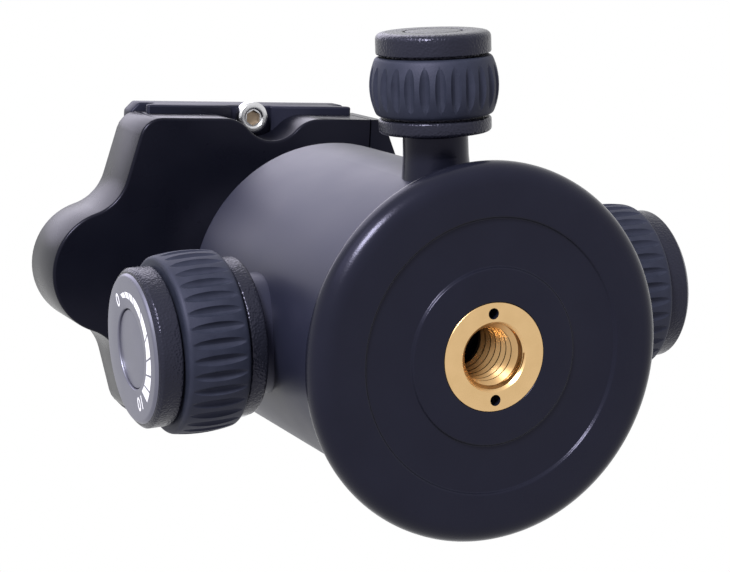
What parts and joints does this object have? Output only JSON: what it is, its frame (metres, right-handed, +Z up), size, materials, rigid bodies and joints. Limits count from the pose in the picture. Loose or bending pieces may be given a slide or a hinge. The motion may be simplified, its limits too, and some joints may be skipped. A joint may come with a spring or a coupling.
{
  "type": "tripod ball head",
  "caption": "Tripod ball head with panning base, ball lock, friction and pan knobs, dovetail quick-release clamp and camera plate.",
  "frame": {"origin": "mouth of the tripod thread, at the centre of the flat bottom face", "axes": "+Z up along the pan axis; the ball lock knob looks along -X, the friction knob along +X and the pan lock knob along -Y"},
  "size_m": [0.0904, 0.074, 0.1006],
  "materials": {
    "black_aluminium": "satin black anodised",
    "knob_plastic": "fine grained black",
    "rubber": "matte fluted",
    "brass": "turned",
    "steel": "bright",
    "bright_alloy": "polished",
    "nylon": "moulded",
    "level_glass": "clear"
  },
  "bodies": {
    "base": {"base_disc": "black_aluminium", "spindle": "black_aluminium", "tripod_insert": "brass", "spindle_washer": "steel", "spindle_nut": "steel"},
    "housing": {"housing": "black_aluminium", "chamber_floor": "black_aluminium", "bearing_ring": "brass", "bearing_screws": "steel", "pan_washer": "nylon", "top_collar": "black_aluminium", "ball_seat_ring": "nylon", "cup_spring": "steel", "lock_boss": "black_aluminium", "friction_boss": "black_aluminium", "pan_neck": "black_aluminium"},
    "pan_knob": {"pan_screw": "steel", "pan_knob_core": "knob_plastic", "pan_knob_grip": "rubber", "pan_knob_cap": "knob_plastic"},
    "pan_brake": {"pan_pad": "nylon"},
    "lock_knob": {"lock_screw": "steel", "lock_knob_core": "knob_plastic", "lock_knob_grip": "rubber", "lock_knob_cap": "knob_plastic", "lock_knob_inlay": "knob_plastic"},
    "lock_shoe": {"lock_pad": "nylon"},
    "friction_knob": {"friction_screw": "steel", "friction_knob_core": "knob_plastic", "friction_knob_grip": "rubber", "friction_knob_cap": "knob_plastic", "friction_knob_inlay": "knob_plastic"},
    "friction_shoe": {"friction_pad": "nylon", "friction_spring": "steel"},
    "cup": {"lower_cup": "nylon"},
    "ball": {"ball": "bright_alloy"},
    "clamp": {"ball_stem": "bright_alloy", "clamp_bolt": "steel", "clamp_body": "black_aluminium", "level_ring": "bright_alloy", "level_vial": "level_glass", "guide_pins": "steel", "jaw_springs": "steel"},
    "jaw": {"movable_jaw": "black_aluminium"},
    "jaw_knob": {"jaw_screw": "steel", "jaw_knob_core": "knob_plastic", "jaw_knob_grip": "rubber", "jaw_knob_cap": "knob_plastic"},
    "plate": {"camera_plate": "black_aluminium", "plate_pad_left": "rubber", "plate_pad_right": "rubber", "stop_screws": "steel"},
    "washer": {"screw_washer": "nylon"},
    "camera_screw": {"camera_screw": "steel"}
  },
  "joints": [
    {"name": "pan", "type": "hinge", "parent": "base", "child": "housing", "pos_m": [0, 0, 0.005], "axis": [0, 0, 1], "continuous": true},
    {"name": "pan_knob_turn", "type": "hinge", "parent": "housing", "child": "pan_knob", "pos_m": [0, -0.03, 0.0173], "axis": [0, 1, 0], "range_deg": [0, 130]},
    {"name": "pan_brake_press", "type": "slide", "parent": "housing", "child": "pan_brake", "axis": [0, 1, 0], "range_m": [0, 0.00032]},
    {"name": "lock_knob_turn", "type": "hinge", "parent": "housing", "child": "lock_knob", "pos_m": [-0.03, 0, 0.033], "axis": [1, 0, 0], "range_deg": [0, 160]},
    {"name": "lock_shoe_press", "type": "slide", "parent": "housing", "child": "lock_shoe", "axis": [1, 0, 0], "range_m": [0, 0.000446]},
    {"name": "friction_knob_turn", "type": "hinge", "parent": "housing", "child": "friction_knob", "pos_m": [0.03, 0, 0.033], "axis": [-1, 0, 0], "range_deg": [0, 160]},
    {"name": "friction_shoe_press", "type": "slide", "parent": "housing", "child": "friction_shoe", "axis": [-1, 0, 0], "range_m": [0, 0.000446]},
    {"name": "ball_azimuth", "type": "hinge", "parent": "housing", "child": "cup", "pos_m": [0, 0, 0.049], "axis": [0, 0, 1], "continuous": true},
    {"name": "ball_tilt", "type": "hinge", "parent": "cup", "child": "ball", "pos_m": [0, 0, 0.049], "axis": [1, 0, 0], "range_deg": [-30, 30]},
    {"name": "ball_spin", "type": "hinge", "parent": "ball", "child": "clamp", "pos_m": [0, 0, 0.049], "axis": [0, 0, 1], "continuous": true},
    {"name": "jaw_knob_turn", "type": "hinge", "parent": "jaw", "child": "jaw_knob", "pos_m": [0.02391, 0.00209, 0.0825], "axis": [0.9962, 0.0872, 0], "range_deg": [0, 720]},
    {"name": "jaw_slide", "type": "slide", "parent": "clamp", "child": "jaw", "axis": [0.9962, 0.0872, 0], "range_m": [0, 0.003]},
    {"name": "plate_slide", "type": "slide", "parent": "clamp", "child": "plate", "axis": [-0.0872, 0.9962, 0], "range_m": [-0.00025, 0.00025]},
    {"name": "camera_screw_slide", "type": "slide", "parent": "plate", "child": "washer", "axis": [-0.0872, 0.9962, 0], "range_m": [-0.006, 0.006]},
    {"name": "camera_screw_turn", "type": "hinge", "parent": "washer", "child": "camera_screw", "pos_m": [-0.00388, -0.00034, 0.096], "axis": [0, 0, 1], "continuous": true}
  ],
  "couplings": [
    {"joint": "pan_brake_press", "follows": "pan_knob_turn", "m_per_rad": 0.00012732},
    {"joint": "lock_shoe_press", "follows": "lock_knob_turn", "m_per_rad": 0.00015915},
    {"joint": "friction_shoe_press", "follows": "friction_knob_turn", "m_per_rad": 0.00015915},
    {"joint": "jaw_slide", "follows": "jaw_knob_turn", "m_per_rad": 0.00023873}
  ]
}
